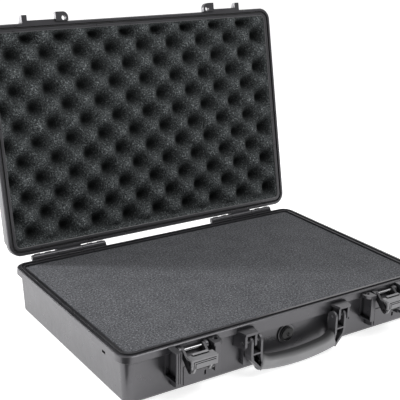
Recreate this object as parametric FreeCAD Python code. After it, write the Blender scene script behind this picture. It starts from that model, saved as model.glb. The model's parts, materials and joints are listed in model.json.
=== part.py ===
import FreeCAD, Part
import math
import os

from FreeCAD import Vector

# Laptop hard case, standing open. Lengths in millimetres, angles in degrees.
# X runs to the right, Y to the back and Z up; the feet stand on Z = 0 under the middle of the rim.
# Everything is drawn with the shell's underside at Z = 0 and the lid closed, and put in place at the end.

# Case
case_width = 500.0
case_depth = 332.0
base_height = 68.4
lid_height = 46.0
rim_gap = 0.4
corner_radius = 19.0
least_radius = 4.0
foot_height = 2.5
lid_open_angle = 101.1

# Shell walls
flange_reach = 6.0
flange_height = 10.5
flange_round = 1.2
wall = 5.4
floor_wall = 4.0
draft = 3.0
edge_round = 4.0
edge_share = 0.3
tongue_width = 2.0
tongue_height = 1.6
top_step = 1.2
top_step_inset = 46.0
bore_slack = 0.05
closeness = 0.1
overrun = 5.0

# Seal and its groove in the lid rim
groove_inset = 4.6
groove_width = 3.2
groove_depth = 4.8
seal_radius = 1.42
seal_sides = 6

# Foam
foam_slack = 0.5
foam_pad_height = 13.0
foam_below_rim = 2.4
lid_foam_below_rim = 1.2
pit_depth = 20.0
pit_columns = 18
pit_rows = 12

# Hinges
hinge_from_side = 33.0
hinge_length = 119.0
hinge_behind_rim = 6.2
knuckle_radius = 5.2
knuckle_gap = 0.8
knuckle_root = 9.0
hinge_pin_radius = 1.6
knuckle_count = 3

# Latches
latch_from_side = 93.0
latch_width = 33.6
latch_pin_radius = 1.6
latch_pin_y = 4.4
latch_pin_below_rim = 7.4
latch_eye_radius = 4.0
latch_side_gap = 0.4
lug_width = 3.4
arm_thick = 3.4
arm_out = 19.0
arm_drop = 17.2
arm_boss_radius = 4.6
arm_bar = 4.2
lever_pin_radius = 2.2
lever_rib = 3.0
lever_overhang = 1.6
lever_below_pin = 0.6
lever_face_out = 28.2
lever_face_foot = 27.6
lever_face_drop = 12.4
lever_plate = 2.6
groove_deep = 0.9
groove_thin = 1.0
groove_pitch = 2.5
hook_height = 2.4
hook_thick = 3.0
hook_half = 11.0
latch_close_angle = 97.0
part_gap = 0.3

# Latch bays on the base
panel_front = 6.0
panel_low = 14.5
panel_slope = 2.0
panel_below_rim = 17.6
panel_raise = 0.8
raised_high = 39.0
post_offset = 24.0
post_front = 19.8
post_width = 8.0
post_wall = 2.0
post_low = 26.5
post_below_rim = 0.8
rib_front = 13.0
rib_width = 3.2
tab_front = 15.4
tab_offset = 39.0
tab_below_rim = 3.4
tab_thick = 4.0
corner_share = 0.62
inner_post_offset = 33.0
inner_post_width = 7.0
inner_post_low = 27.0
padlock_offset = 32.0
padlock_y = 4.4
padlock_radius = 3.6
slot_width = 3.0
slot_height = 6.0
slot_depth = 2.0
slot_above = 9.0
slot_offset = 17.5

# Padlock ears and latch lips on the lid
ear_reach = 13.5
ear_thick = 7.0
ear_gap = 0.6
ear_offset = 19.4
lip_reach = 3.5
lip_height = 7.2
guard_reach = 11.5
guard_height = 15.0

# Handle
handle_width = 155.2
handle_arm = 17.7
arm_wall = 3.1
handle_thick = 14.5
handle_pivot_y = 9.5
pivot_below_rim = 19.2
web_drop = 14.7
web = 2.2
pocket_depth = 10.5
side_bend = 6.0
knee_drop = 24.0
knee_inset = 1.8
toe_drop = 41.8
toe_inset = 15.8
grip_corner_drop = 31.2
grip_corner_out = 2.6
grip_sag = 5.8
grip_height = 17.8
grip_proud = 1.0
core_margin = 3.4
grip_round = 3.6
handle_pin_radius = 2.0

# Handle blocks on the base
block_overlap = 10.4
block_width = 18.4
prong_width = 3.4
prong_radius = 4.6
prong_drop = 3.6
block_below_rim = 5.1
block_plate = 3.3
block_proud = 1.6
block_flare = 5.5
mount_panel_low = 12.0
mount_panel_inner = 6.5
mount_panel_round = 9.0
brow_drop = 7.0

# Pressure valve
valve_x = -5.5
valve_below_flange = 22.4
valve_radius = 10.6
valve_flange = 2.0
valve_cap_radius = 9.4
valve_cap_height = 2.0
valve_cap_shares = ((1, 0), (1, 0.5), (0.8, 1))
valve_stem_radius = 5.0
valve_boss = 2.0
valve_boss_reach = 2.5
nut_radius = 8.5
nut_thick = 4.0
nut_room = 2.5

# Strap sockets on the side walls
socket_half = 4.2
socket_height = 4.0
socket_depth = 2.2
socket_from_front = 60.0
socket_below_flange = 6.0

# Feet
foot_x = 19.0
foot_from_rim = 21.0
foot_half = 2.8

# Places that follow from the sizes above
rim_front = -case_depth / 2
rim_back = case_depth / 2
flange_low = base_height - flange_height
cavity_inset = flange_reach + wall
lid_rim = base_height + rim_gap
lid_top = lid_rim + lid_height
hinge_y = rim_back + hinge_behind_rim
hinge_z = base_height + rim_gap / 2
wall_root = rim_front + flange_reach + draft + wall / 4
latch_x = case_width / 2 - latch_from_side
latch_y = rim_front - latch_pin_y
latch_pin_z = base_height - latch_pin_below_rim
panel_high = base_height - panel_below_rim
post_high = base_height - post_below_rim
tab_inner = latch_x - tab_offset
tab_top = base_height - tab_below_rim
inner_post_start = latch_x - inner_post_offset
inner_post_end = inner_post_start + inner_post_width
padlock_x = latch_x - padlock_offset
ear_end = latch_x - ear_offset
hinge_end = case_width / 2 - hinge_from_side
hinge_start = hinge_end - hinge_length
latch_half = latch_width / 2
arm_length = math.hypot(arm_out, arm_drop)
handle_half = handle_width / 2
arm_inner = handle_half - handle_arm
handle_y = rim_front - handle_pivot_y
handle_pivot_z = base_height - pivot_below_rim
web_top = handle_pivot_z - web_drop
knee_z = handle_pivot_z - knee_drop
toe_z = handle_pivot_z - toe_drop
grip_corner_z = handle_pivot_z - grip_corner_drop
block_inner = handle_half - block_overlap
block_outer = block_inner + block_width
block_top = base_height - block_below_rim
valve_z = flange_low - valve_below_flange
foot_y = case_depth / 2 - foot_from_rim
socket_y = case_depth / 2 - socket_from_front


def box(x_range, y_range, z_range):
    """Block between three pairs of limits, each pair in either order."""
    low = Vector(min(x_range), min(y_range), min(z_range))
    high = Vector(max(x_range), max(y_range), max(z_range))
    size = high - low
    return Part.makeBox(size.x, size.y, size.z, low)


def rod(x_range, y, z, radius):
    """Round bar along X."""
    length = max(x_range) - min(x_range)
    return Part.makeCylinder(radius, length, Vector(min(x_range), y, z), Vector(1, 0, 0))


def side_shape(points, x_range):
    """Outline of (y, z) points, carried from one X to the other."""
    start = min(x_range)
    corners = [Vector(start, y, z) for y, z in points]
    face = Part.Face(Part.makePolygon(corners + corners[:1]))
    return face.extrude(Vector(max(x_range) - start, 0, 0))


def upright(points, z_range):
    """Outline of (x, y) points, carried from one Z to the other."""
    low = min(z_range)
    corners = [Vector(x, y, low) for x, y in points]
    face = Part.Face(Part.makePolygon(corners + corners[:1]))
    return face.extrude(Vector(0, 0, max(z_range) - low))


def join(shapes):
    """One solid from shapes that touch or overlap."""
    return shapes[0].multiFuse(shapes[1:]).removeSplitter()


def mirrored(shape):
    """The same shape on the other side of the case."""
    return shape.mirror(Vector(0, 0, 0), Vector(1, 0, 0))


def outline(inset, z):
    """The rim's rounded outline, drawn in by inset, at height z."""
    radius = max(corner_radius - inset, least_radius)
    x = case_width / 2 - inset - radius
    y = case_depth / 2 - inset - radius
    edges = []
    last = None
    first = None
    for turn, (side_x, side_y) in enumerate(((1, 1), (-1, 1), (-1, -1), (1, -1))):
        arc = []
        for step in range(3):
            angle = math.radians(90 * turn + 45 * step)
            arc.append(Vector(side_x * x + radius * math.cos(angle), side_y * y + radius * math.sin(angle), z))
        if last is not None:
            edges.append(Part.makeLine(last, arc[0]))
        else:
            first = arc[0]
        edges.append(Part.Arc(*arc).toShape())
        last = arc[2]
    edges.append(Part.makeLine(last, first))
    return Part.Wire(edges)


def tray(levels):
    """Solid with straight walls from one rim outline to the next, each given as (inset, z)."""
    return Part.makeLoft([outline(inset, z) for inset, z in levels], True, True)


def round_edge(inset, z, inward):
    """Two levels that round the edge of a tray which ends at z, its middle lying inward along Z."""
    near = edge_round * edge_share
    return [(inset + edge_round, z), (inset + near, z + inward * near)]


def rim_band(low_z, high_z):
    """Rim flange with its outer edges taken off."""
    return tray([(flange_round, low_z), (0, low_z + flange_round), (0, high_z - flange_round),
                 (flange_round, high_z)])


def slab(inset, low_z, high_z):
    """Solid with upright walls on a rim outline."""
    return Part.Face(outline(inset, low_z)).extrude(Vector(0, 0, high_z - low_z))


def ring(outer_inset, inner_inset, low_z, high_z):
    """Upright band between two rim outlines."""
    return slab(outer_inset, low_z, high_z).cut(slab(inner_inset, low_z - overrun, high_z + overrun))


def knuckles(lid):
    """Hinge knuckles of the base or the lid, with the roots that join them to the rim."""
    pitch = (hinge_end - hinge_start) / knuckle_count
    shapes = []
    for index in range(knuckle_count):
        if (index % 2 == 1) != lid:
            continue
        start = hinge_start + index * pitch + knuckle_gap / 2
        x_range = (start, start + pitch - knuckle_gap)
        shapes.append(rod(x_range, hinge_y, hinge_z, knuckle_radius))
        away = knuckle_root if lid else -knuckle_root
        inside = rim_back - flange_reach / 2
        root = [(inside, hinge_z), (hinge_y, hinge_z), (hinge_y + knuckle_radius, hinge_z),
                (hinge_y, hinge_z + away), (inside, hinge_z + away)]
        shapes.append(side_shape(root, x_range))
    return shapes + [mirrored(shape) for shape in shapes]


def hinge_bores():
    """The holes through both hinges."""
    bore = rod((hinge_start - overrun, hinge_end + overrun), hinge_y, hinge_z, hinge_pin_radius + bore_slack)
    return [bore, mirrored(bore)]


def latch_bay():
    """What carries and guards the right latch: panel, pin lugs, posts and the padlock tab."""
    back = wall_root
    panel_y = rim_front - panel_front
    outer = latch_x + post_offset
    panel_foot = panel_low - panel_slope
    panel = side_shape([(back, panel_foot), (rim_front, panel_foot), (panel_y, panel_low),
                        (panel_y, panel_high), (back, panel_high + panel_front)],
                       (latch_x - latch_half - lug_width, outer))
    raised = box((latch_x - latch_half, latch_x + latch_half - rib_width),
                 (panel_y - panel_raise, panel_y), (panel_low, raised_high))
    post = box((outer, outer + post_width), (rim_front - post_front, back), (post_low, post_high))
    grooves = []
    for share in (1 / 3, 2 / 3):
        x = outer + post_width * share
        grooves.append(box((x - panel_raise / 2, x + panel_raise / 2),
                           (rim_front - post_front, rim_front - post_front + panel_raise), (post_low, post_high)))
    core_y = (rim_front - post_front + post_wall, rim_front + flange_reach)
    core = box((outer + post_wall, outer + post_width), core_y, (post_low + post_wall, post_high - post_wall))
    post = post.cut([core] + grooves)
    rib = box((outer - rib_width, outer), (rim_front - rib_front, back), (post_low, panel_high))
    inner_post = box((inner_post_start, inner_post_end), (rim_front - tab_front, back), (inner_post_low, tab_top))
    core_y = (rim_front - tab_front + post_wall, rim_front + flange_reach)
    core = box((inner_post_start, inner_post_end - post_wall), core_y,
               (inner_post_low + post_wall, tab_top - tab_thick))
    inner_post = inner_post.cut(core)
    tab_end = inner_post_end + rib_width / 2
    tab = box((tab_inner, tab_end), (rim_front - tab_front, back), (tab_top - tab_thick, tab_top))
    tab = rounded_corner(tab, tab_front * corner_share)
    shapes = [panel, raised, post, rib, inner_post, tab]
    for side in (-1, 1):
        near = latch_x + side * (latch_half + latch_side_gap)
        lug_range = (near, near + side * lug_width)
        shapes.append(rod(lug_range, latch_y, latch_pin_z, latch_eye_radius))
        shapes.append(box(lug_range, (latch_y, back), (latch_pin_z - latch_eye_radius, latch_pin_z + latch_eye_radius)))
    return shapes


def rounded_corner(plate, radius):
    """Plate with its front upright edge nearest the middle of the case rounded."""
    front = plate.BoundBox.YMin
    inner = plate.BoundBox.XMin
    edges = []
    for edge in plate.Edges:
        bounds = edge.BoundBox
        if bounds.ZLength > closeness and bounds.YMax - front < closeness and bounds.XMax - inner < closeness:
            edges.append(edge)
    return plate.makeFillet(radius, edges)


def latch_bay_cuts():
    """Holes in the right latch bay: the pin's seat and the padlock hole."""
    reach = latch_half + latch_side_gap + lug_width
    pin = rod((latch_x - reach, latch_x + reach), latch_y, latch_pin_z, latch_pin_radius + bore_slack)
    place = Vector(padlock_x, rim_front - padlock_y, tab_top - tab_thick - overrun)
    padlock = Part.makeCylinder(padlock_radius, tab_thick + 2 * overrun, place)
    return [pin, padlock]


def handle_block():
    """Right handle block: panel on the wall, flared cap plate, side web and two prongs that hold the pin."""
    back = wall_root
    front = handle_y - prong_radius
    plate_low = block_top - block_plate
    plate = upright([(block_inner, front - block_proud), (block_outer, front - block_proud),
                     (block_outer + block_flare, back), (block_inner - block_flare, back)], (plate_low, block_top))
    low = handle_pivot_z - prong_drop
    gusset = upright([(block_outer, front), (block_outer + block_flare, back), (block_outer, back)],
                     (low - prong_radius, plate_low))
    shapes = [plate, gusset]
    for start in (block_inner, block_outer - prong_width):
        prong_range = (start, start + prong_width)
        shapes.append(rod(prong_range, handle_y, low, prong_radius))
        shapes.append(box(prong_range, (front, back), (low, plate_low)))
        shapes.append(box(prong_range, (handle_y, back), (low - prong_radius, low)))
    panel = box((block_inner - mount_panel_inner, handle_half), (rim_front, back), (mount_panel_low, flange_low))
    scoop = Part.makeCylinder(mount_panel_round, base_height,
                              Vector(block_inner - mount_panel_inner, rim_front, 0))
    shapes.append(panel.cut(scoop))
    return shapes


def valve_seat_y():
    """Y of the flat face that the valve sits on."""
    share = (flange_low - valve_z) / flange_low
    return rim_front + flange_reach + draft * share - valve_boss


def base_shell():
    """Moulded base: drafted tray with the rim flange and everything moulded on it."""
    above = flange_reach + draft * (1 - edge_round / flange_low)
    levels = round_edge(flange_reach + draft, 0, 1) + [(above, edge_round), (flange_reach, flange_low)]
    body = tray(levels)
    flange = rim_band(flange_low, base_height)
    tongue_inset = groove_inset + (groove_width - tongue_width) / 2
    tongue = ring(tongue_inset, tongue_inset + tongue_width, base_height - flange_round, base_height + tongue_height)
    pad = slab(top_step_inset + part_gap * 2, -foot_height, floor_wall / 2)
    shapes = [body, flange, pad] + knuckles(False)
    right = latch_bay() + handle_block()
    shapes += right + [mirrored(shape) for shape in right]
    brow = box((-block_inner, block_inner), (rim_front, wall_root),
               (flange_low - brow_drop, flange_low + flange_round))
    boss = Part.makeCylinder(valve_radius + valve_boss_reach, wall, Vector(valve_x, valve_seat_y() + wall, valve_z),
                             Vector(0, -1, 0))
    shapes += [brow, boss]
    for side_x in (-1, 1):
        for side_y in (-1, 1):
            for offset in (-foot_x, foot_x):
                x, y = side_x * (latch_x + offset), side_y * foot_y
                shapes.append(box((x - foot_half, x + foot_half), (y - foot_half, y + foot_half),
                                  (-foot_height, foot_height)))
    body = join(shapes)
    body = body.cut(slab(cavity_inset, floor_wall, base_height + overrun))
    body = body.fuse(tongue)
    cuts = hinge_bores()
    right_cuts = latch_bay_cuts()
    cuts += right_cuts + [mirrored(cut) for cut in right_cuts]
    handle_bore = rod((arm_inner, block_outer + overrun), handle_y, handle_pivot_z,
                      handle_pin_radius + bore_slack)
    cuts += [handle_bore, mirrored(handle_bore)]
    cuts.append(Part.makeCylinder(valve_stem_radius + bore_slack, case_depth / 4,
                                  Vector(valve_x, valve_seat_y() - overrun, valve_z), Vector(0, 1, 0)))
    panel_y = rim_front - panel_front
    for side in (-1, 1):
        x = side * latch_x + slot_offset
        middle = panel_low + slot_above
        cuts.append(box((x - slot_width / 2, x + slot_width / 2), (panel_y - overrun, panel_y + slot_depth),
                        (middle - slot_height / 2, middle + slot_height / 2)))
        socket_z = flange_low - socket_below_flange
        wall_x = case_width / 2 - flange_reach - draft * socket_below_flange / flange_low
        cuts.append(box((side * (wall_x - socket_depth), side * (wall_x + overrun)),
                        (-socket_y - socket_half, -socket_y + socket_half),
                        (socket_z - socket_height, socket_z)))
    return body.cut(cuts).removeSplitter()


def lid_shell():
    """Moulded lid, drawn closed: drafted cover, grooved rim, knuckles, padlock ears and latch lips."""
    flange_top = lid_rim + flange_height
    below = flange_reach + draft * (1 - edge_round / (lid_top - flange_top))
    levels = round_edge(flange_reach + draft, lid_top, -1) + [(below, lid_top - edge_round), (flange_reach, flange_top)]
    body = tray(levels)
    flange = rim_band(lid_rim, flange_top)
    shapes = [body, flange] + knuckles(True)
    outer = latch_x + post_offset
    ear_low = latch_pin_z + latch_eye_radius + ear_gap
    ear = box((tab_inner, ear_end), (rim_front - ear_reach, rim_front - part_gap * 2), (ear_low, ear_low + ear_thick))
    ear = rounded_corner(ear, ear_reach * corner_share)
    ear_root = box((tab_inner, ear_end), (rim_front - ear_reach / 2, rim_front + flange_reach / 2),
                   (lid_rim, ear_low + ear_thick))
    lip = box((ear_end, outer), (rim_front - lip_reach, rim_front + flange_reach / 2), (lid_rim, lid_rim + lip_height))
    guard_y = rim_front - guard_reach
    guard = side_shape([(rim_front + flange_reach / 2, lid_rim), (guard_y, lid_rim),
                        (guard_y, lid_rim + guard_height / 2), (rim_front, lid_rim + guard_height),
                        (rim_front + flange_reach / 2, lid_rim + guard_height)], (outer, outer + post_width))
    right = [ear, ear_root, lip, guard]
    body = join(shapes + right + [mirrored(shape) for shape in right])
    step_low = lid_top - top_step
    body = body.cut(slab(top_step_inset, step_low, lid_top + overrun))
    body = body.cut(slab(cavity_inset, lid_rim - overrun, lid_top - floor_wall))
    body = body.cut(ring(groove_inset, groove_inset + groove_width, lid_rim - overrun, lid_rim + groove_depth))
    padlock = Part.makeCylinder(padlock_radius, lid_height, Vector(padlock_x, rim_front - padlock_y, tab_top))
    return body.cut(hinge_bores() + [padlock, mirrored(padlock)]).removeSplitter()


def lid_seal():
    """Six-sided rubber cord that lies in the lid's groove, drawn closed."""
    centre_z = lid_rim + groove_depth - seal_radius - bore_slack
    path = outline(groove_inset + groove_width / 2, centre_z)
    start = path.Edges[0].firstVertex().Point
    heading = path.Edges[0].tangentAt(path.Edges[0].FirstParameter)
    across = heading.cross(Vector(0, 0, 1))
    corners = []
    for corner in range(seal_sides + 1):
        angle = math.radians(360 / seal_sides * (corner + 0.5))
        corners.append(start + across * seal_radius * math.cos(angle) + Vector(0, 0, seal_radius * math.sin(angle)))
    return path.makePipeShell([Part.makePolygon(corners)], True, False)


def base_foam_pad():
    """Thin foam pad on the floor of the base."""
    return slab(cavity_inset + foam_slack, floor_wall, floor_wall + foam_pad_height)


def base_foam_block():
    """Foam block that fills the base, flat on top, notched for the valve's nut."""
    block = slab(cavity_inset + foam_slack, floor_wall + foam_pad_height, base_height - foam_below_rim)
    room = nut_radius + nut_room
    notch = box((valve_x - room, valve_x + room), (rim_front, rim_front + cavity_inset + nut_thick + nut_room),
                (valve_z - room, valve_z + room))
    return block.cut(notch)


def lid_foam():
    """Egg-crate foam of the lid, drawn closed: a net of ridges round staggered pyramid pits."""
    rim_z = lid_rim + lid_foam_below_rim
    top_z = lid_top - floor_wall - foam_slack
    inset = cavity_inset + foam_slack
    x_step = (case_width - 2 * inset) / pit_columns
    y_step = (case_depth - 2 * inset) / pit_rows

    def knot(column, row):
        """Corner of the net: a pit where column and row add up even, a ridge crossing elsewhere."""
        inner = 0 < column < pit_columns and 0 < row < pit_rows
        height = pit_depth if inner and (column + row) % 2 == 0 else 0
        return Vector(-case_width / 2 + inset + column * x_step, -case_depth / 2 + inset + row * y_step,
                      rim_z + height)

    faces = []
    for column in range(pit_columns):
        for row in range(pit_rows):
            a, b = knot(column, row), knot(column + 1, row)
            c, d = knot(column + 1, row + 1), knot(column, row + 1)
            halves = ((a, b, d), (b, c, d)) if (column + row) % 2 == 0 else ((a, b, c), (a, c, d))
            faces += [Part.Face(Part.makePolygon([p, q, r, p])) for p, q, r in halves]
    border = [knot(column, 0) for column in range(pit_columns)]
    border += [knot(pit_columns, row) for row in range(pit_rows)]
    border += [knot(column, pit_rows) for column in range(pit_columns, 0, -1)]
    border += [knot(0, row) for row in range(pit_rows, 0, -1)]
    sides = ((0, pit_columns), (pit_columns, pit_columns + pit_rows),
             (pit_columns + pit_rows, 2 * pit_columns + pit_rows), (2 * pit_columns + pit_rows, len(border)))
    rise = Vector(0, 0, top_z - rim_z)
    roof = []
    for first, last in sides:
        low = [border[index % len(border)] for index in range(first, last + 1)]
        faces.append(Part.Face(Part.makePolygon(low + [low[-1] + rise, low[0] + rise, low[0]])))
        roof.append(low[0] + rise)
    faces.append(Part.Face(Part.makePolygon(roof + roof[:1])))
    shell = Part.makeShell(faces)
    shell.sewShape()
    return Part.makeSolid(shell).common(slab(inset, rim_z - overrun, top_z + overrun))


def latch_point(out, down):
    """Place beside the latch pin, out from the wall and down, at rest."""
    return (latch_y - out, latch_pin_z - down)


def arm_point(along, aside):
    """Place on the latch's arms, along their line from the latch pin and beside it, at rest."""
    out, drop = arm_out / arm_length, arm_drop / arm_length
    return latch_point(out * along + drop * aside, drop * along - out * aside)


def latch_frame():
    """Right latch's black arms, from the chrome pin to the lever's pin, with a bar between them."""
    shapes = []
    eye = latch_eye_radius
    boss = arm_boss_radius
    for side in (-1, 1):
        near = latch_x + side * latch_half
        arm_range = (near, near - side * arm_thick)
        shapes.append(rod(arm_range, *arm_point(0, 0), eye))
        shapes.append(rod(arm_range, *arm_point(arm_length, 0), boss))
        shapes.append(side_shape([arm_point(0, eye), arm_point(0, -eye), arm_point(arm_length, -boss),
                                  arm_point(arm_length, boss)], arm_range))
    inner = latch_half - arm_thick / 2
    half = arm_bar / 2
    middle = arm_length / 2
    shapes.append(side_shape([arm_point(middle - half, -half), arm_point(middle - half, half),
                              arm_point(middle + half, half), arm_point(middle + half, -half)],
                             (latch_x - inner, latch_x + inner)))
    bore_range = (latch_x - latch_width, latch_x + latch_width)
    pin_bore = rod(bore_range, *arm_point(0, 0), latch_pin_radius + bore_slack)
    lever_bore = rod(bore_range, *arm_point(arm_length, 0), lever_pin_radius + bore_slack)
    return join(shapes).cut([pin_bore, lever_bore])


def latch_lever():
    """Right latch's lever: ridged face, top plate with the hook, and two ribs down to its pin."""
    half = latch_half + lever_overhang
    full = (latch_x - half, latch_x + half)
    face_top = lever_face_out
    high = lever_below_pin
    foot = lever_face_foot
    low = high + lever_face_drop
    hook_at = math.hypot(lip_reach - latch_pin_y, lid_rim + lip_height - latch_pin_z) + part_gap
    lean = math.atan2(lever_face_out - lever_face_foot, lever_face_drop)
    plate_in = lever_plate / math.cos(lean)
    face = side_shape([latch_point(face_top, high), latch_point(foot, low), latch_point(foot - plate_in, low),
                       latch_point(face_top - plate_in, high)], full)
    top = side_shape([latch_point(face_top, high), latch_point(hook_at, high), latch_point(hook_at, high + lever_plate),
                      latch_point(face_top - plate_in, high + lever_plate)], full)
    tilt = math.tan(math.radians(latch_close_angle - 90))
    hook = side_shape([latch_point(hook_at, high), latch_point(hook_at + hook_height * tilt, high - hook_height),
                       latch_point(hook_at + hook_thick, high - hook_height / 2),
                       latch_point(hook_at + hook_thick, high)], (latch_x - hook_half, latch_x + hook_half))
    shapes = [face, top, hook]
    boss = arm_boss_radius
    for side in (-1, 1):
        near = latch_x + side * (latch_half - arm_thick - part_gap)
        rib_range = (near, near - side * lever_rib)
        shapes.append(side_shape([latch_point(hook_at + lever_plate, high), latch_point(face_top - plate_in / 2, high),
                                  latch_point(foot - plate_in / 2, low), latch_point(arm_out + boss, arm_drop),
                                  latch_point(arm_out + boss / 2, arm_drop + boss),
                                  latch_point(arm_out - boss / 2, arm_drop + boss),
                                  latch_point(arm_out - boss, arm_drop)], rib_range))
    bore_range = (latch_x - latch_width, latch_x + latch_width)
    bore = rod(bore_range, *latch_point(arm_out, arm_drop), lever_pin_radius + bore_slack)
    return join(shapes).cut(bore).cut(lever_grooves(lean))


def lever_grooves(lean):
    """Two thin grooves in the lever's face, each along its top and down its left edge."""
    across = Vector(1, 0, 0)
    inward = Vector(0, math.cos(lean), math.sin(lean))
    down = Vector(0, math.sin(lean), -math.cos(lean))
    half = latch_half + lever_overhang
    corner = Vector(latch_x - half, *latch_point(lever_face_out, lever_below_pin)) - inward * overrun
    cuts = []
    for level in (1, 2):
        start = corner + (across + down) * (groove_pitch * level)
        for long, short in ((across * (2 * half - groove_pitch * (level + 1)), down),
                            (down * (lever_face_drop + overrun), across)):
            path = [start, start + long, start + long + short * groove_thin, start + short * groove_thin]
            cuts.append(Part.Face(Part.makePolygon(path + path[:1])).extrude(inward * (overrun + groove_deep)))
    return cuts


def handle_outline(y, z_raise):
    """Front outline of the right arm of the handle, from its top to its toe."""
    outer = handle_half
    points = [(arm_inner, handle_pivot_z + z_raise), (arm_inner, web_top - side_bend),
              (arm_inner - grip_corner_out, grip_corner_z), (outer - toe_inset, toe_z),
              (outer - knee_inset, knee_z - knee_inset), (outer, knee_z + side_bend),
              (outer, handle_pivot_z + z_raise)]
    corners = [Vector(x, y, z) for x, z in points]
    return Part.makePolygon(corners + corners[:1])


def bar_shape(half_length, low_end, low_middle, height, y_range):
    """Bar that sags in the middle, between two ends."""
    y = min(y_range)
    low = [Vector(-half_length, y, low_end), Vector(0, y, low_middle), Vector(half_length, y, low_end)]
    high = [point + Vector(0, 0, height) for point in reversed(low)]
    wire = Part.Wire([Part.Arc(*low).toShape(), Part.makeLine(low[2], high[0]), Part.Arc(*high).toShape(),
                      Part.makeLine(high[2], low[0])])
    return Part.Face(wire).extrude(Vector(0, max(y_range) - y, 0))


def handle_core():
    """The stiff bar inside the grip."""
    back = handle_y + handle_thick / 2 - core_margin
    front = handle_y - handle_thick / 2 + core_margin
    return bar_shape(arm_inner + arm_wall, toe_z + core_margin, toe_z + core_margin - grip_sag,
                     grip_height - 2 * core_margin, (front, back))


def handle_frame():
    """Handle frame: two forked arms with open-fronted pockets, and the bar between them."""
    front = handle_y - handle_thick / 2
    raise_z = handle_thick / 2
    arm = Part.Face(handle_outline(front, raise_z)).extrude(Vector(0, handle_thick, 0))
    head = rod((0, handle_half + overrun), handle_y, handle_pivot_z, handle_thick / 2)
    shank = box((0, handle_half + overrun), (front, front + handle_thick), (0, handle_pivot_z))
    arm = arm.common(join([head, shank]))
    inside = (arm_inner + arm_wall, handle_half - arm_wall)
    fork = box(inside, (front - overrun, front + handle_thick + overrun), (web_top, base_height))
    pocket_wire = handle_outline(front - overrun, 0)
    pocket = Part.Face(pocket_wire.makeOffset2D(-arm_wall)).extrude(Vector(0, overrun + pocket_depth, 0))
    pocket = pocket.common(box((0, handle_half), (front - overrun, front + pocket_depth), (0, web_top - web)))
    arm = arm.cut([fork, pocket])
    frame = join([arm, mirrored(arm), handle_core()])
    bore = rod((-handle_width, handle_width), handle_y, handle_pivot_z, handle_pin_radius + bore_slack)
    return frame.cut(bore)


def handle_grip():
    """Soft grip moulded round the bar, between the slanted ends of the arms."""
    y_range = (handle_y - handle_thick / 2 - grip_proud, handle_y + handle_thick / 2)
    grip = bar_shape(handle_half, toe_z, toe_z - grip_sag, grip_height, y_range)
    long_edges = [edge for edge in grip.Edges if edge.BoundBox.XLength > handle_half]
    grip = grip.makeChamfer(grip_round, long_edges)
    ends = []
    depth = Vector(0, handle_thick + 2 * overrun, 0)
    y = handle_y - handle_thick / 2 - overrun
    outer = handle_half
    lean = (toe_inset - handle_arm - grip_corner_out) / (grip_corner_z - toe_z)
    low_x = outer - toe_inset - lean * toe_z
    high_x = low_x + lean * handle_pivot_z
    points = [(low_x - bore_slack, 0), (high_x - bore_slack, handle_pivot_z), (outer * 2, handle_pivot_z),
              (outer * 2, 0)]
    corners = [Vector(x, y, z) for x, z in points]
    end = Part.Face(Part.makePolygon(corners + corners[:1])).extrude(depth)
    ends += [end, mirrored(end)]
    return grip.cut(ends).cut(handle_core())


def valve_body():
    """Valve's flanged body with its stem through the wall."""
    seat = valve_seat_y()
    out = Vector(0, -1, 0)
    flange = Part.makeCylinder(valve_radius, valve_flange, Vector(valve_x, seat, valve_z), out)
    length = rim_front + cavity_inset + nut_thick - seat
    stem = Part.makeCylinder(valve_stem_radius, length, Vector(valve_x, seat, valve_z), Vector(0, 1, 0))
    return flange.fuse(stem)


def valve_cap():
    """Low cap on the valve, sloped down to its edge."""
    seat = valve_seat_y() - valve_flange
    points = [(0, 0)]
    for radius_share, height_share in valve_cap_shares:
        points.append((valve_cap_radius * radius_share, valve_cap_height * height_share))
    points.append((0, valve_cap_height))
    corners = [Vector(valve_x + radius, seat - height, valve_z) for radius, height in points]
    profile = Part.Face(Part.makePolygon(corners + corners[:1]))
    return profile.revolve(Vector(valve_x, seat, valve_z), Vector(0, 1, 0), 360)


def valve_nut():
    """Six-sided nut that holds the valve from inside."""
    face_y = rim_front + cavity_inset
    corners = []
    for corner in range(7):
        angle = math.radians(60 * corner)
        corners.append(Vector(valve_x + nut_radius * math.cos(angle), face_y, valve_z + nut_radius * math.sin(angle)))
    nut = Part.Face(Part.makePolygon(corners)).extrude(Vector(0, nut_thick, 0))
    bore = Part.makeCylinder(valve_stem_radius + bore_slack, nut_thick * 3,
                             Vector(valve_x, face_y - nut_thick, valve_z), Vector(0, 1, 0))
    return nut.cut(bore)


def latch_pin():
    """Chrome pin of the right latch, seated in its lugs."""
    reach = latch_half + latch_side_gap + lug_width - bore_slack
    return rod((latch_x - reach, latch_x + reach), latch_y, latch_pin_z, latch_pin_radius)


def lever_pin():
    """Pin between the right latch's arms and its lever, flush with the arms."""
    return rod((latch_x - latch_half, latch_x + latch_half), *latch_point(arm_out, arm_drop), lever_pin_radius)


def hinge_pin():
    """Right hinge's pin."""
    return rod((hinge_start, hinge_end), hinge_y, hinge_z, hinge_pin_radius)


def handle_pin():
    """Right pin of the handle, from the arm's inner wall to the outer prong."""
    return rod((arm_inner + bore_slack, block_outer - bore_slack), handle_y, handle_pivot_z, handle_pin_radius)


def opened(shape):
    """A closed lid piece, swung open about the hinges."""
    turned = shape.copy()
    turned.rotate(Vector(0, hinge_y, hinge_z), Vector(1, 0, 0), -lid_open_angle)
    return turned


def save(name, shape):
    """Stand a piece on its feet and write it out."""
    placed = shape.copy()
    placed.translate(Vector(0, 0, foot_height))
    placed.exportStep("parts/" + name + ".step")
    print(name, len(placed.Solids), "solid,", placed.isValid(), round(placed.Volume / 1000, 2), "cm3")


def save_pair(name, shape):
    """Write the right piece and its mirror image on the left."""
    save(name + "_right", shape)
    save(name + "_left", mirrored(shape))


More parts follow.
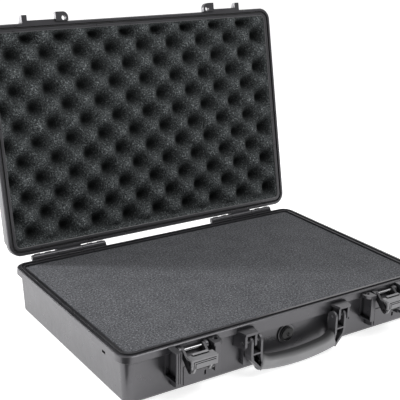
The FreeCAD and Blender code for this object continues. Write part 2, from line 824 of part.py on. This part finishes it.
os.makedirs("parts", exist_ok=True)
save("base_shell", base_shell())
save("base_foam_pad", base_foam_pad())
save("base_foam_block", base_foam_block())
save("lid_shell", opened(lid_shell()))
save("lid_seal", opened(lid_seal()))
save("lid_foam", opened(lid_foam()))
save_pair("hinge_pin", hinge_pin())
save_pair("latch_pin", latch_pin())
save_pair("latch_frame", latch_frame())
lever = latch_lever()
save("latch_lever_right", lever)
save("latch_lever_left", lever.translated(Vector(-2 * latch_x, 0, 0)))
save_pair("lever_pin", lever_pin())
save_pair("handle_pin", handle_pin())
save("handle_frame", handle_frame())
save("handle_grip", handle_grip())
save("valve_body", valve_body())
save("valve_cap", valve_cap())
save("valve_nut", valve_nut())
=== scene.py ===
import json
import math

import bmesh
import bpy
from mathutils import Euler, Matrix, Vector, noise


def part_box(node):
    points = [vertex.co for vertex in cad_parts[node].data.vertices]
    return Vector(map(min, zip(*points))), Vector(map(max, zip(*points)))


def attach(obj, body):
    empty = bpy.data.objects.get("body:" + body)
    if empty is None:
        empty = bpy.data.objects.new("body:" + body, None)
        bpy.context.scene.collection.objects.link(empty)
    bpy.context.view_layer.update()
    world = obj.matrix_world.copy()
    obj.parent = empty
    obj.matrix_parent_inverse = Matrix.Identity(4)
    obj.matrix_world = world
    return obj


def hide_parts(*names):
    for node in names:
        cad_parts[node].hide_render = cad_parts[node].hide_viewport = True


# The open case, dressed for its portrait. Metres, X right, Y back, Z up, feet on Z = 0.
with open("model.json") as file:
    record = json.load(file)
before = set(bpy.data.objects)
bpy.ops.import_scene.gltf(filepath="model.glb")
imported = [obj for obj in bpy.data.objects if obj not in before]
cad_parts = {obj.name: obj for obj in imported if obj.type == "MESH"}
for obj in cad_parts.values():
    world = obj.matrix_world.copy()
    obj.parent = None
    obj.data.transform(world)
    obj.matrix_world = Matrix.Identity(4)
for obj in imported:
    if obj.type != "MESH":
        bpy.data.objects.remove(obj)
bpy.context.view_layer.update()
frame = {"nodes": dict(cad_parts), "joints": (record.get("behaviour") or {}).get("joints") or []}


# Camera: a short telephoto, higher than the open lid and off the case's left front corner.
# Its angles are in degrees.
camera_place = Vector((-0.68376, -0.98493, 0.57498))
camera_heading = 33.2614
camera_dip = 18.5032
camera_roll = 0.8529
camera_lens, camera_sensor = 81.093, 36
camera_near = 0.05

camera = bpy.data.objects.new("camera", bpy.data.cameras.new("camera"))
camera.data.lens = camera_lens
camera.data.sensor_width = camera_sensor
camera.data.clip_start = camera_near
turn = Euler((math.radians(90 - camera_dip), 0, math.radians(-camera_heading))).to_matrix()
roll = Matrix.Rotation(math.radians(camera_roll), 3, "Z")
camera.matrix_world = Matrix.Translation(camera_place) @ (turn @ roll).to_4x4()
bpy.context.scene.collection.objects.link(camera)
bpy.context.scene.camera = camera
bpy.context.scene.view_settings.view_transform = "Standard"


# Base and lid shells: two trays of black polypropylene, each moulded in one shot against a lightly spark-eroded
# steel tool. Handling has polished them in cloudy patches, long along the walls, and rubbed the corners paler.
class Value:
    """A shader output that takes part in sums."""

    def __init__(self, finish, output):
        self.finish = finish
        self.output = output

    def _sum(self, operation, first, second, clamp=False):
        return self.finish.node("ShaderNodeMath", {"operation": operation, "use_clamp": clamp}, [first, second])

    def __add__(self, other):
        return self._sum("ADD", self, other)

    def __sub__(self, other):
        return self._sum("SUBTRACT", self, other)

    def __rsub__(self, other):
        return self._sum("SUBTRACT", other, self)

    def __mul__(self, other):
        return self._sum("MULTIPLY", self, other)

    def __pow__(self, other):
        return self._sum("POWER", self, other)

    def clamped(self):
        return self._sum("ADD", self, 0, True)

    __radd__ = __add__
    __rmul__ = __mul__


class Finish:
    """A named material, with its nodes added by one method."""

    def __init__(self, name, **settings):
        self.material = bpy.data.materials.new(name)
        self.material.use_nodes = True
        self.tree = self.material.node_tree
        self.shader = self.tree.nodes["Principled BSDF"]
        self.set(**settings)

    def node(self, kind, settings=(), inputs=(), output=0):
        """A node of this kind, its settings first, then the values or links of its sockets."""
        made = self.tree.nodes.new(kind)
        for key, value in dict(settings).items():
            if key == "stops":
                ramp = made.color_ramp.elements
                while len(ramp) < len(value):
                    ramp.new(0.5)
                for element, (place, grey) in zip(ramp, value):
                    element.position = place
                    element.color = (grey, grey, grey, 1)
            else:
                setattr(made, key, value)
        pairs = inputs.items() if isinstance(inputs, dict) else enumerate(inputs)
        for key, value in pairs:
            self.join(value, made.inputs[key])
        return Value(self, made.outputs[output])

    def join(self, value, socket):
        """Link an output to a socket, or set the socket's own value. A colour of three gets its alpha."""
        if isinstance(value, Value):
            self.tree.links.new(value.output, socket)
        elif hasattr(socket.default_value, "__len__") and len(value) < len(socket.default_value):
            socket.default_value = (*value, 1)
        else:
            socket.default_value = value

    def set(self, **sockets):
        """Values or links of the shader's own sockets, with _ for a space."""
        for key, value in sockets.items():
            self.join(value, self.shader.inputs[key.replace("_", " ").title().replace("Ior", "IOR")])

    def place(self, scale=(1, 1, 1)):
        """Object coordinates, stretched by scale."""
        where = self.node("ShaderNodeTexCoord", output="Object")
        return self.node("ShaderNodeMapping", {}, {"Vector": where, "Scale": scale})

    def grain(self, scale, detail=2, stretch=(1, 1, 1), roughness=0.5):
        """Noise with about this many lumps in a metre, from 0 to 1."""
        return self.node("ShaderNodeTexNoise", {}, {"Vector": self.place(stretch), "Scale": scale, "Detail": detail,
                                                    "Roughness": roughness})

    def ramp(self, value, *stops):
        """A value sent through grey stops."""
        return self.node("ShaderNodeValToRGB", {"stops": stops}, [value])

    def mix(self, share, first, second):
        """A colour between two others. Sockets 6 and 7 and output 2 are the Mix node's colours."""
        return self.node("ShaderNodeMix", {"data_type": "RGBA"}, {0: share, 6: first, 7: second}, 2)

    def rolled(self, radius):
        """Normal that rolls over sharp edges, as a moulding's own small radius does."""
        return self.node("ShaderNodeBevel", {"samples": 6}, {"Radius": radius})

    def edges(self, radius, gain=4):
        """How near a sharp edge is, from 0 on flats, by how far the rolled normal leans."""
        plain = self.node("ShaderNodeNewGeometry", output="Normal")
        lean = self.node("ShaderNodeVectorMath", {"operation": "DOT_PRODUCT"}, [self.rolled(radius), plain], "Value")
        return ((1 - lean) * gain).clamped()

    def paint_shade_in_hollows(self, reach, colour, strength=1.6):
        """Painted shade that fills corners and grooves narrower than reach, dull and of this colour."""
        near = {"samples": 8, "only_local": True}
        open_share = self.node("ShaderNodeAmbientOcclusion", near, {"Distance": reach}, "AO")
        painted_shade = self.node("ShaderNodeBsdfDiffuse", {}, {"Color": colour})
        plastic = Value(self, self.shader.outputs["BSDF"])
        blend = self.node("ShaderNodeMixShader", {}, [((1 - open_share) * strength).clamped(), plastic, painted_shade])
        self.join(blend, self.tree.nodes["Material Output"].inputs["Surface"])

    def bump(self, height, depth, strength=1, radius=0):
        """Raised grain, depth in metres, on the shader's normal, with edges rolled by radius."""
        inputs = {"Height": height, "Distance": depth, "Strength": strength}
        if radius:
            inputs["Normal"] = self.rolled(radius)
        self.set(normal=self.node("ShaderNodeBump", {}, inputs))

    def cover(self, *names):
        """Give these CAD nodes this finish."""
        for name in names:
            cad = frame["nodes"][name]
            cad.data.materials.clear()
            cad.data.materials.append(self.material)


shell_grey = (0.012, 0.012, 0.0135)
shell_pale = (0.028, 0.028, 0.031)
shell_rubbed = (0.075, 0.074, 0.078)
# Near black of the shade painted into the shells' corners and grooves.
shell_shade_colour = (0.004, 0.004, 0.0045)
gloss_tint = (0.97, 0.95, 1)

shell = Finish("moulded_shell", ior=1.92, specular_tint=gloss_tint)
clouds = shell.grain(26, detail=4, stretch=(0.35, 1, 1))
scuffs = shell.grain(90, detail=3, stretch=(0.3, 1, 0.5), roughness=0.7)
grey = shell.mix((clouds * 1.4 - 0.2 + scuffs * 0.5 - 0.25).clamped(), shell_grey, shell_pale)
shell.set(base_color=shell.mix(shell.edges(radius=0.0007) * scuffs, grey, shell_rubbed),
          roughness=scuffs * 0.2 + 0.2)
shell.bump(shell.grain(1500, detail=1) + clouds * 14 + scuffs, depth=0.00008, strength=0.6, radius=0.00025)
# Shade painted into the shells' corners and grooves.
shell.paint_shade_in_hollows(reach=0.004, colour=shell_shade_colour, strength=1.2)
shell.cover("base_shell", "lid_shell")


# Base foam: a thin pad on the floor and the block on it, polyurethane cut square with a hot wire. Its open cells
# show as fine grain, with glints off the cell walls painted as bright specks, and it is only pressed in place.
foam_dark = (0.030, 0.032, 0.036)
foam_light = (0.265, 0.267, 0.284)
foam_corner = 0.0071
foam_edge = 0.0012

foam = Finish("cut_foam", roughness=0.9, specular_ior_level=0.2)
cells = foam.grain(380, detail=3, roughness=0.9)
patches = foam.grain(30, detail=3)
# Painted glints: bright specks where cell walls would catch the light.
painted_glints = foam.ramp(foam.grain(480, detail=1), (0.6, 0), (0.72, 1))
tone = (foam.ramp(cells, (0.38, 0), (0.62, 1)) * 0.55 + patches * 0.25 - 0.1 + painted_glints * 0.75).clamped()
foam.set(base_color=foam.mix(tone, foam_dark, foam_light))
foam.bump(cells, depth=0.0008, strength=0.8)


def finish_piece(name, mesh, finish, body, replaced=()):
    """Turn a closed bmesh into a piece on its body, its faces outwards, in place of CAD nodes."""
    data = bpy.data.meshes.new(name)
    bmesh.ops.recalc_face_normals(mesh, faces=mesh.faces)
    if mesh.calc_volume(signed=True) < 0:
        bmesh.ops.reverse_faces(mesh, faces=mesh.faces)
    for face in mesh.faces:
        face.smooth = True
    mesh.to_mesh(data)
    mesh.free()
    data.materials.append(finish.material)
    piece = bpy.data.objects.new(name, data)
    bpy.context.scene.collection.objects.link(piece)
    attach(piece, body)
    if replaced:
        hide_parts(*replaced)
    return piece


def block(low, high):
    """A sharp block between two corners, for its edges to be rounded."""
    mesh = bmesh.new()
    where = Matrix.Translation((low + high) / 2) @ Matrix.Diagonal((*(high - low), 1))
    bmesh.ops.create_cube(mesh, size=1, matrix=where)
    return mesh


def round_edges(mesh, edges, radius, segments):
    bmesh.ops.bevel(mesh, geom=edges, offset=radius, segments=segments, profile=0.5, affect="EDGES",
                    material=-1)


def foam_slab(name, node):
    """A CAD foam block again, with round upright corners and a soft cut edge."""
    low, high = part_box(node)
    half_height = (high.z - low.z) / 2
    mesh = block(low, high)
    round_edges(mesh, [e for e in mesh.edges if abs(e.verts[0].co.z - e.verts[1].co.z) > half_height],
                foam_corner, 6)
    round_edges(mesh, [e for e in mesh.edges if min(v.co.z for v in e.verts) > high.z - 1e-5], foam_edge, 3)
    finish_piece(name, mesh, foam, "base", [node])


foam_slab("base_foam", "base_foam_block")
foam_slab("floor_foam", "base_foam_pad")


# Hinges: steel rods driven through moulded knuckles. A low wall in front of each row of knuckles keeps grit out.
# Its outer thirds belong to the base, with short ribs behind them, and its middle third turns with the lid.
hinge_starts = (-0.217, 0.098)
hinge_third = 0.119 / 3
wall_front, wall_thick = 0.1676, 0.0011
wall_low, wall_high = 0.0690, 0.0750
wall_gap, wall_edge = 0.0002, 0.0003
cheek_back, cheek_thick, cheek_edge = 0.1745, 0.0012, 0.0004
rib_numbers = (1, 2, 6, 7)
rib_pitch, rib_length, rib_offset = 0.017, 0.0094, 0.2
rib_front, rib_back = 0.1710, 0.1734
rib_low, rib_high = 0.0750, 0.07705

steel = Finish("pin_steel", metallic=1)
streaks = steel.grain(400, detail=3, stretch=(0.05, 1, 1))
steel.set(base_color=steel.mix(streaks, (0.42, 0.42, 0.43), (0.66, 0.66, 0.67)), roughness=streaks * 0.25 + 0.2)
steel.cover("hinge_pin_left", "hinge_pin_right")


def hinge_block(name, low, high, edge, body="base"):
    """A small moulded block of the shell's own plastic, its edges rounded."""
    mesh = block(Vector(low), Vector(high))
    round_edges(mesh, mesh.edges[:], edge, 2)
    finish_piece(name, mesh, shell, body)


for side, start in zip(("left", "right"), hinge_starts):
    for third in range(3):
        x = start + third * hinge_third
        hinge_block(f"hinge_wall_{side}_{third + 1}", (x + wall_gap, wall_front, wall_low),
                    (x + hinge_third - wall_gap, wall_front + wall_thick, wall_high), wall_edge,
                    "lid" if third == 1 else "base")
    hinge_block(f"hinge_cheek_{side}", (start - cheek_thick, wall_front, wall_low), (start, cheek_back, wall_high),
                cheek_edge)
    for rib in rib_numbers:
        x = start + (rib - 1 + rib_offset) * rib_pitch
        hinge_block(f"hinge_rib_{side}_{rib}", (x, rib_front, rib_low), (x + rib_length, rib_back, rib_high),
                    wall_edge)


# Lid seal: a cord of solid rubber, near round in section, pressed into the groove of the lid's rim.
# Dust has left it a little paler in patches.
lid_opened = 101.1
hinge = Vector(frame["joints"][0]["pos_m"])
opening = Matrix.Rotation(math.radians(-lid_opened), 4, "X")
lid_place = Matrix.Translation(hinge) @ opening @ Matrix.Translation(-hinge)
rim_half_x, rim_half_y, rim_corner = 0.25, 0.166, 0.019
seal_inset, seal_width, seal_edge = 0.00478, 0.00284, 0.0012
seal_low, seal_high = 0.07318, 0.07602

seal_finish = Finish("seal_rubber", specular_ior_level=0.4)
dust = seal_finish.grain(160, detail=4, roughness=0.7)
seal_finish.set(base_color=seal_finish.mix(dust, (0.028, 0.028, 0.030), (0.075, 0.075, 0.076)),
                roughness=dust * 0.3 + 0.4)
seal_finish.bump(seal_finish.grain(2200, detail=1), depth=0.00004, strength=0.4)


def rim_cord(inset, width, low, high, edge):
    """A band along the closed lid's rounded rim, between two heights, edges rounded, turned open with the lid."""
    mesh = bmesh.new()
    bmesh.ops.create_grid(mesh, x_segments=1, y_segments=1, size=1)
    bmesh.ops.scale(mesh, vec=(rim_half_x - inset, rim_half_y - inset, 1), verts=mesh.verts)
    bmesh.ops.translate(mesh, vec=(0, 0, low), verts=mesh.verts)
    bmesh.ops.bevel(mesh, geom=mesh.verts[:], offset=rim_corner - inset, segments=8, profile=0.5,
                    affect="VERTICES", material=-1)
    inner = mesh.faces[:]
    bmesh.ops.inset_region(mesh, faces=inner, thickness=width, use_even_offset=True, use_boundary=True)
    bmesh.ops.delete(mesh, geom=inner, context="FACES")
    raised = bmesh.ops.extrude_face_region(mesh, geom=mesh.faces[:])["geom"]
    bmesh.ops.translate(mesh, vec=(0, 0, high - low), verts=[g for g in raised if isinstance(g, bmesh.types.BMVert)])
    bmesh.ops.remove_doubles(mesh, verts=mesh.verts, dist=1e-7)
    level = [e for e in mesh.edges if abs(e.verts[0].co.z - e.verts[1].co.z) < 1e-7]
    round_edges(mesh, [e for e in level if e.calc_face_angle(0) > 0.5], edge, 3)
    mesh.transform(lid_place)
    return mesh


mesh = rim_cord(seal_inset, seal_width, seal_low, seal_high, seal_edge)
finish_piece("lid_seal_cord", mesh, seal_finish, "lid", ["lid_seal"])


# Lid foam: a sheet pressed into staggered pits, with a rounded net of ridges between them, glued into the lid.
# It is the same open-cell foam as the base's, with shade painted dark down in its pits and glints painted as bright
# specks.
pit_pitch_x, pit_pitch_y = 0.0271, 0.0259
first_pit_x, first_pit_y = -0.0179, 0.0072
pit_depth, pit_sharpness = 0.024, 1.5
pit_drift, drifts_per_metre = 0.0012, 22
foam_lump, lumps_per_metre = 0.0007, 70
foam_half_x, foam_half_y = 0.2381, 0.1541
foam_face, foam_back = 0.0725, 0.1128
foam_border = 0.006
foam_cell = 0.0022
foam_seed = 7

lid_foam_finish = Finish("pressed_foam", roughness=0.9, specular_ior_level=0.2)
cells = lid_foam_finish.grain(420, detail=3, roughness=0.9)
# Painted glints, as on the base foam.
painted_glints = lid_foam_finish.ramp(lid_foam_finish.grain(430, detail=1), (0.58, 0), (0.72, 1))
tone = (lid_foam_finish.ramp(cells, (0.4, 0), (0.64, 1)) * 0.5 + painted_glints * 0.9).clamped()
net = lid_foam_finish.mix(tone, (0.013, 0.0155, 0.0165), (0.25, 0.27, 0.275))
# Painted shade: the deeper a point lies in a pit, the nearer its colour goes to black.
depth = lid_foam_finish.node("ShaderNodeAttribute", {"attribute_name": "pit_depth"}, output="Fac")
lid_foam_finish.set(base_color=lid_foam_finish.mix(depth ** 0.8, net, (0.003, 0.004, 0.004)))
lid_foam_finish.bump(cells, depth=0.0008, strength=0.8)

noise.seed_set(foam_seed)
mesh = bmesh.new()
bmesh.ops.create_grid(mesh, x_segments=round(2 * foam_half_x / foam_cell),
                      y_segments=round(2 * foam_half_y / foam_cell), size=1)
pit_layer = mesh.verts.layers.float.new("pit_depth")
for vert in mesh.verts:
    x, y = vert.co.x * foam_half_x, vert.co.y * foam_half_y
    drift = noise.noise_vector(Vector((x, y, 0)) * drifts_per_metre) * pit_drift
    column = (x + drift.x - first_pit_x) / pit_pitch_x
    row = (y + drift.y - first_pit_y) / pit_pitch_y
    crate = ((math.cos(math.pi * column) * math.cos(math.pi * row) + 1) / 2) ** pit_sharpness
    crate *= min(1, min(foam_half_x - abs(x), foam_half_y - abs(y)) / foam_border)
    lump = noise.noise(Vector((x, y, 0)) * lumps_per_metre) * foam_lump
    vert[pit_layer] = crate
    vert.co = (x, y, foam_face + pit_depth * crate + lump)
border = [e for e in mesh.edges if e.is_boundary]
raised = bmesh.ops.extrude_edge_only(mesh, edges=border)["geom"]
for vert in [g for g in raised if isinstance(g, bmesh.types.BMVert)]:
    vert.co.z = foam_back
bmesh.ops.contextual_create(mesh, geom=[g for g in raised if isinstance(g, bmesh.types.BMEdge)])
mesh.transform(lid_place)
finish_piece("lid_foam_sheet", mesh, lid_foam_finish, "lid", ["lid_foam"])


# Lid rim trim: a bead moulded along the lid's rim, where its wall meets the foam.
# It is the lid's own plastic, glossy, with a highlight painted along it as a pale grey.
bead_inset, bead_width, bead_edge = 0.0103, 0.0018, 0.0008
bead_low, bead_high = 0.0715, 0.0733

bead_highlight_finish = Finish("rim_bead", specular_ior_level=0.9)
rub_and_sheen = bead_highlight_finish.grain(120, detail=3, roughness=0.7)
# Painted highlight: greys far paler than the shell's own.
bead_highlight_finish.set(base_color=bead_highlight_finish.mix(rub_and_sheen, (0.07, 0.07, 0.072), (0.16, 0.16, 0.163)),
                roughness=rub_and_sheen * 0.2 + 0.3)
bead_highlight_finish.bump(bead_highlight_finish.grain(1500, detail=1), depth=0.00005, strength=0.4)

mesh = rim_cord(bead_inset, bead_width, bead_low, bead_high, bead_edge)
finish_piece("lid_rim_bead", mesh, bead_highlight_finish, "lid")


# Latches: two black arms turn on a chromed rod in the base's lugs. A grey lever with a hook and two grooves in its
# face turns on a second rod across the arms, so a pull on the lever's foot draws the hook down over the lid's lip.
trim = Finish("moulded_trim", specular_ior_level=0.7, specular_tint=gloss_tint)
wear = trim.grain(220, detail=3, roughness=0.7)
trim.set(base_color=trim.mix(wear, (0.012, 0.012, 0.013), (0.030, 0.030, 0.032)), roughness=wear * 0.2 + 0.32)
trim.bump(trim.grain(1800, detail=1), depth=0.00005, strength=0.4, radius=0.0004)
# Shade painted near black into the frames' corners and grooves.
trim.paint_shade_in_hollows(reach=0.006, colour=(0.002, 0.002, 0.002))
trim.cover("latch_frame_left", "latch_frame_right")

lever_finish = Finish("latch_lever", ior=1.8, specular_tint=gloss_tint)
wear = lever_finish.grain(180, detail=4, stretch=(0.4, 1, 1), roughness=0.7)
grey = lever_finish.mix(wear, (0.15, 0.15, 0.155), (0.24, 0.24, 0.246))
lever_finish.set(base_color=lever_finish.mix(lever_finish.edges(radius=0.0006), grey, (0.2, 0.2, 0.205)),
                 roughness=wear * 0.2 + 0.32)
lever_finish.bump(lever_finish.grain(1500, detail=1), depth=0.00005, strength=0.4, radius=0.0005)
# Shade painted near black into the lever's two grooves and its corners.
lever_finish.paint_shade_in_hollows(reach=0.0024, colour=(0.003, 0.003, 0.003), strength=3)
lever_finish.cover("latch_lever_left", "latch_lever_right")

chrome = Finish("pin_chrome", metallic=1)
smears = chrome.grain(300, detail=3, stretch=(0.1, 1, 1))
chrome.set(base_color=chrome.mix(smears, (0.38, 0.38, 0.39), (0.6, 0.6, 0.61)), roughness=smears * 0.2 + 0.12)
chrome.cover("latch_pin_left", "latch_pin_right")

dark_steel = Finish("blackened_pin", metallic=1)
rust = dark_steel.grain(500, detail=3)
dark_steel.set(base_color=dark_steel.mix(rust, (0.02, 0.02, 0.021), (0.06, 0.058, 0.056)),
               roughness=rust * 0.3 + 0.3)
dark_steel.cover("lever_pin_left", "lever_pin_right")


# Handle: two forked arms with pockets moulded open to the front, on steel rods in the base's blocks. The grip
# between them is soft pale rubber moulded over the bar, with shade painted dark on its top, and its upper side
# rises to meet the arms.
handle_finish = Finish("handle_arm", ior=1.9, specular_tint=gloss_tint)
wear = handle_finish.grain(150, detail=3, roughness=0.7)
grey = handle_finish.mix(wear, (0.030, 0.030, 0.033), (0.062, 0.061, 0.065))
handle_finish.set(base_color=handle_finish.mix(handle_finish.edges(radius=0.0008), grey, (0.13, 0.13, 0.133)),
                  roughness=wear * 0.2 + 0.3)
handle_finish.bump(handle_finish.grain(1500, detail=1), depth=0.00005, strength=0.4, radius=0.0006)
# Shade painted near black into the arms' pockets and corners.
handle_finish.paint_shade_in_hollows(reach=0.006, colour=(0.003, 0.003, 0.003))
handle_finish.cover("handle_frame")
steel.cover("handle_pin_left", "handle_pin_right")

grip_finish = Finish("soft_grip", specular_ior_level=0.25)
smudge = grip_finish.grain(60, detail=4, stretch=(0.5, 1, 1), roughness=0.6)
pale = grip_finish.mix(smudge, (0.25, 0.25, 0.257), (0.38, 0.38, 0.388))
# Painted shade: the grip's upper half goes dark towards its top.
painted_top_shade = grip_finish.node("ShaderNodeAttribute", {"attribute_name": "palm_side"}, output="Fac")
grip_finish.set(base_color=grip_finish.mix(grip_finish.ramp(painted_top_shade, (0.3, 0), (0.98, 1)), pale, (0.05, 0.05, 0.052)),
                roughness=smudge * 0.2 + 0.42)
grip_finish.bump(grip_finish.grain(2000, detail=1), depth=0.00004, strength=0.3)

grip_low, grip_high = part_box("handle_grip")
grip_half = 0.0618
grip_sag = 0.0058
grip_tall = 0.0178
grip_squareness = 3
grip_rise, rise_start = 0.0075, 0.72
grip_swell = 0.0012
grip_sides, grip_steps = 28, 40
# The arms' inner faces, which the grip's ends follow: they slope in up to the foot's height, then lean out.
arm_reach, arm_slope, arm_lap = 0.0653, 0.4245, 0.0015
foot_reach, foot_lean, foot_height = 0.0583, 0.14, 0.0205

mesh = bmesh.new()
reach = (grip_half ** 2 + grip_sag ** 2) / (2 * grip_sag)
sweep_half = math.asin(grip_half / reach)
centre = Vector((0, (grip_low.y + grip_high.y) / 2, grip_low.z + grip_tall / 2))
grip_deep = grip_high.y - grip_low.y
ring = bmesh.ops.create_circle(mesh, cap_ends=False, segments=grip_sides, radius=1,
                               matrix=Matrix.Rotation(math.pi / 2, 4, "Y"))
for vert in ring["verts"]:
    rounding = abs(vert.co.y) ** grip_squareness + abs(vert.co.z) ** grip_squareness
    squared = 1 / rounding ** (1 / grip_squareness)
    vert.co = centre + Vector((0, vert.co.y * squared * grip_deep / 2, vert.co.z * squared * grip_tall / 2))
pivot = centre + Vector((0, 0, reach))
bmesh.ops.rotate(mesh, verts=mesh.verts, cent=pivot, matrix=Matrix.Rotation(sweep_half, 3, "Y"))
bmesh.ops.spin(mesh, geom=mesh.edges[:], cent=pivot, axis=(0, 1, 0), angle=-2 * sweep_half, steps=grip_steps)
ends = [e for e in mesh.edges if e.is_boundary]
bmesh.ops.contextual_create(mesh, geom=[e for e in ends if e.verts[0].co.x < 0])
bmesh.ops.contextual_create(mesh, geom=[e for e in ends if e.verts[0].co.x > 0])
top_shade_layer = mesh.verts.layers.float.new("palm_side")
for vert in mesh.verts:
    along = vert.co.x / grip_half
    middle = pivot.z - math.sqrt(max(reach ** 2 - vert.co.x ** 2, 0))
    upper = max(0, (vert.co.z - middle) / (grip_tall / 2))
    lower = max(0, (middle - vert.co.z) / (grip_tall / 2))
    # How high a point sits in the grip's upper half, which the painted shade on top reads.
    vert[top_shade_layer] = upper
    vert.co.z += grip_rise * upper * max(0, (abs(along) - rise_start) / (1 - rise_start)) ** 2
    vert.co.z -= grip_swell * lower * (1 - along ** 2)
    vert.co.x = along * max(arm_reach - arm_slope * vert.co.z + arm_lap,
                            foot_reach + foot_lean * (vert.co.z - foot_height))
finish_piece("handle_grip_skin", mesh, grip_finish, "handle", ["handle_grip"])


# Pressure valve: a black nylon body screwed through the front wall with a nut inside, and a domed cap on it.
# The cap has a turned edge, a shallow ring and a dimple in the middle.
valve_finish = Finish("valve_black", specular_ior_level=0.35)
marks = valve_finish.grain(260, detail=3, roughness=0.7)
valve_finish.set(base_color=valve_finish.mix(marks, (0.006, 0.006, 0.007), (0.022, 0.022, 0.023)),
                 roughness=marks * 0.2 + 0.2)
valve_finish.bump(marks, depth=0.00003, strength=0.4)
valve_finish.cover("valve_body", "valve_nut")

cap_finish = Finish("valve_cap_black", specular_ior_level=0.3)
marks = cap_finish.grain(260, detail=3, roughness=0.7)
cap_finish.set(base_color=cap_finish.mix(marks, (0.003, 0.003, 0.0035), (0.010, 0.010, 0.011)),
               roughness=marks * 0.15 + 0.06)
cap_finish.bump(marks, depth=0.00003, strength=0.4)

cap_low, cap_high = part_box("valve_cap")
cap_radius = (cap_high.x - cap_low.x) / 2
cap_sides = 48
# Each step of the cap's outline: how far it comes forward, and then its share of the radius.
cap_steps = ((0.0003, 1), (0.0012, 0.97), (0.0003, 0.9), (-0.0001, 0.72), (0.0003, 0.45), (0.0001, 0.17),
             (-0.0009, 0.13))

mesh = bmesh.new()
centre = Vector(((cap_low.x + cap_high.x) / 2, cap_high.y, (cap_low.z + cap_high.z) / 2))
bmesh.ops.create_circle(mesh, cap_ends=True, segments=cap_sides, radius=cap_radius,
                        matrix=Matrix.Rotation(math.pi / 2, 4, "X"))
bmesh.ops.translate(mesh, vec=centre, verts=mesh.verts)
top = mesh.faces[:]
depth = centre.y
for step, share in cap_steps:
    made = bmesh.ops.extrude_face_region(mesh, geom=top)["geom"]
    bmesh.ops.delete(mesh, geom=top, context="FACES")
    top = [g for g in made if isinstance(g, bmesh.types.BMFace)]
    depth -= step
    for vert in [g for g in made if isinstance(g, bmesh.types.BMVert)]:
        out = Vector((vert.co.x - centre.x, 0, vert.co.z - centre.z)).normalized() * cap_radius * share
        vert.co = Vector((centre.x + out.x, depth, centre.z + out.z))
bmesh.ops.holes_fill(mesh, edges=[e for e in mesh.edges if e.is_boundary], sides=0)
finish_piece("valve_cap_dome", mesh, cap_finish, "base", ["valve_cap"])


# Floor and light: a white floor in a white room that dims towards the front. One soft box hangs over the front, a
# wide one stands low behind the left side for the wall's sheen, and a small one draws the lid's shadow on the foam.
floor_size = 6
floor_glow = 0.75
room_fill = 0.35
room_front = 0.15
room_fade = 0.9


def stage_sheet(name, size, place, finish):
    """A flat sheet of the studio, not part of the case."""
    mesh = bmesh.new()
    bmesh.ops.create_grid(mesh, x_segments=1, y_segments=1, size=0.5)
    bmesh.ops.scale(mesh, vec=(*size, 1), verts=mesh.verts)
    bmesh.ops.translate(mesh, vec=place, verts=mesh.verts)
    data = bpy.data.meshes.new(name)
    mesh.to_mesh(data)
    mesh.free()
    data.materials.append(finish.material)
    sheet = bpy.data.objects.new(name, data)
    bpy.context.scene.collection.objects.link(sheet)
    return sheet


class Room(Finish):
    """The world around the case, its nodes added as a finish's are."""

    def __init__(self, name):
        world = bpy.data.worlds.new(name)
        world.use_nodes = True
        bpy.context.scene.world = world
        self.tree = world.node_tree
        self.shader = self.tree.nodes["Background"]


def rays(finish, kind):
    """1 for rays of this kind, 0 for others."""
    return finish.node("ShaderNodeLightPath", output=f"Is {kind} Ray")


def soft_box(name, place, aim, width, height, power, mirrored=True):
    """A rectangular lamp that faces a point, with or without a highlight of its own."""
    lamp = bpy.data.lights.new(name, "AREA")
    lamp.shape = "RECTANGLE"
    lamp.size = width
    lamp.size_y = height
    lamp.energy = power
    holder = bpy.data.objects.new(name, lamp)
    holder.visible_glossy = mirrored
    facing = (Vector(aim) - Vector(place)).to_track_quat("-Z", "Y")
    holder.matrix_world = Matrix.Translation(place) @ facing.to_matrix().to_4x4()
    bpy.context.scene.collection.objects.link(holder)


floor_finish = Finish("white_floor", base_color=(0.8, 0.8, 0.8), roughness=0.9, emission_strength=floor_glow)
shown = (rays(floor_finish, "Camera") + rays(floor_finish, "Glossy") + rays(floor_finish, "Transmission")).clamped()
floor_finish.set(emission_color=floor_finish.mix(shown, (0.6, 0.6, 0.6), (1, 1, 1)))
stage_sheet("floor", (2 * floor_size, 2 * floor_size), (0, 0, 0), floor_finish)

room = Room("studio")
back = room.node("ShaderNodeSeparateXYZ", {}, [room.node("ShaderNodeTexCoord", output="Generated")], "Y")
mirror = (back * room_fade + room_fade).clamped() * (1 - room_front) + room_front
shown = (rays(room, "Camera") + rays(room, "Transmission")).clamped()
room.set(color=room.mix(shown, room.mix(rays(room, "Glossy"), (room_fill,) * 3, mirror), (1, 1, 1)))

soft_box("overhead", place=(0.5, -0.9, 2.1), aim=(0, 0, 0.1), width=1.6, height=1.4, power=24)
soft_box("left_back", place=(-2.4, 2.4, 0.36), aim=(-0.25, 0, 0.03), width=4.5, height=0.65, power=62)
soft_box("window", place=(-1.48, 1.19, 1.0), aim=(-0.1, 0, 0.07), width=0.2, height=0.2, power=30, mirrored=False)


# Flag: a matt black card, laid on the floor off the near corner. It isn't in view and throws no shadow.
# Only glossy plastic mirrors it, which deepens that corner.
flag_size = (0.36, 0.5)
flag_place = (-0.46, -0.42, 0.001)

card_finish = Finish("black_card", base_color=(0.005, 0.005, 0.005), roughness=1)
flag = stage_sheet("flag", flag_size, flag_place, card_finish)
flag.visible_camera = False
flag.visible_diffuse = False
flag.visible_shadow = False
